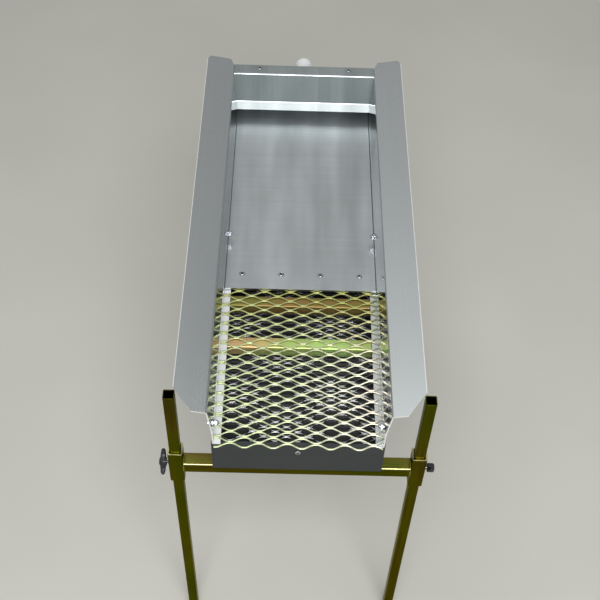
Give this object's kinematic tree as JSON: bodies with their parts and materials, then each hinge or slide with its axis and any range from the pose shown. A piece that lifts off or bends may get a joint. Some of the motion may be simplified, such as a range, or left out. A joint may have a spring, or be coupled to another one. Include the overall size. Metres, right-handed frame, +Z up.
{
  "type": "wash trough with grizzly mesh",
  "caption": "Sheet-metal wash trough: flared hopper with wings, steel mesh, water hood and lower riffle box on a stand with sliding, clamped legs.",
  "frame": {"origin": "on the ground, at the middle of the footprint's width and length", "axes": "+Z up, -Y towards the mesh end, +X to the right when facing the mesh end from in front"},
  "size_m": [0.412, 0.819, 0.7],
  "materials": {
    "aluminium_sheet": "brushed, bare",
    "yellow_zinc": "yellow chromated zinc, satin",
    "bright_zinc": "bright zinc",
    "rivet_alloy": "satin",
    "black_rubber": "matte",
    "white_plastic": "smooth moulded",
    "black_plastic": "fine grain"
  },
  "bodies": {
    "trough": {"hopper_left_side": "aluminium_sheet", "hopper_right_side": "aluminium_sheet", "back_wall": "aluminium_sheet", "water_hood": "aluminium_sheet", "hood_rivets": "rivet_alloy", "slick_plate": "aluminium_sheet", "deck_brace": "aluminium_sheet", "deck_rivets_row": "rivet_alloy", "grizzly_mesh": "yellow_zinc", "mesh_bar_front": "yellow_zinc", "mesh_bar_rear": "yellow_zinc", "box_tray": "aluminium_sheet", "front_plate": "aluminium_sheet", "front_plate_rivets": "rivet_alloy", "rubber_mat": "black_rubber", "riffle_mesh": "bright_zinc", "side_bolts": "bright_zinc", "side_washers": "bright_zinc", "side_nuts": "bright_zinc", "water_inlet": "white_plastic", "inlet_gasket": "black_rubber", "inlet_nut": "white_plastic", "front_crossbar": "yellow_zinc", "rear_crossbar": "yellow_zinc", "stand_bolts": "bright_zinc", "stand_nuts": "bright_zinc", "front_left_sleeve": "yellow_zinc", "front_right_sleeve": "yellow_zinc", "rear_left_sleeve": "yellow_zinc", "rear_right_sleeve": "yellow_zinc"},
    "leg_front_left": {"front_left_leg": "yellow_zinc"},
    "knob_front_left": {"front_left_knob": "black_plastic", "front_left_screw": "bright_zinc"},
    "leg_front_right": {"front_right_leg": "yellow_zinc"},
    "knob_front_right": {"front_right_knob": "black_plastic", "front_right_screw": "bright_zinc"},
    "leg_rear_left": {"rear_left_leg": "yellow_zinc"},
    "knob_rear_left": {"rear_left_knob": "black_plastic", "rear_left_screw": "bright_zinc"},
    "leg_rear_right": {"rear_right_leg": "yellow_zinc"},
    "knob_rear_right": {"rear_right_knob": "black_plastic", "rear_right_screw": "bright_zinc"}
  },
  "joints": [
    {"name": "front_left_leg_slide", "type": "slide", "parent": "trough", "child": "leg_front_left", "axis": [0, 0, 1], "range_m": [-0.135, 0.48]},
    {"name": "front_left_knob_turn", "type": "hinge", "parent": "trough", "child": "knob_front_left", "pos_m": [-0.18, -0.3825, 0.5215], "axis": [-1, 0, 0], "range_deg": [0, 450]},
    {"name": "front_right_leg_slide", "type": "slide", "parent": "trough", "child": "leg_front_right", "axis": [0, 0, 1], "range_m": [-0.135, 0.48]},
    {"name": "front_right_knob_turn", "type": "hinge", "parent": "trough", "child": "knob_front_right", "pos_m": [0.18, -0.3825, 0.5215], "axis": [1, 0, 0], "range_deg": [0, 450]},
    {"name": "rear_left_leg_slide", "type": "slide", "parent": "trough", "child": "leg_rear_left", "axis": [0, 0, 1], "range_m": [-0.04, 0.08]},
    {"name": "rear_left_knob_turn", "type": "hinge", "parent": "trough", "child": "knob_rear_left", "pos_m": [-0.18, 0.2885, 0.5215], "axis": [0, 1, 0], "range_deg": [0, 450]},
    {"name": "rear_right_leg_slide", "type": "slide", "parent": "trough", "child": "leg_rear_right", "axis": [0, 0, 1], "range_m": [-0.04, 0.08]},
    {"name": "rear_right_knob_turn", "type": "hinge", "parent": "trough", "child": "knob_rear_right", "pos_m": [0.18, 0.2885, 0.5215], "axis": [0, 1, 0], "range_deg": [0, 450]}
  ]
}
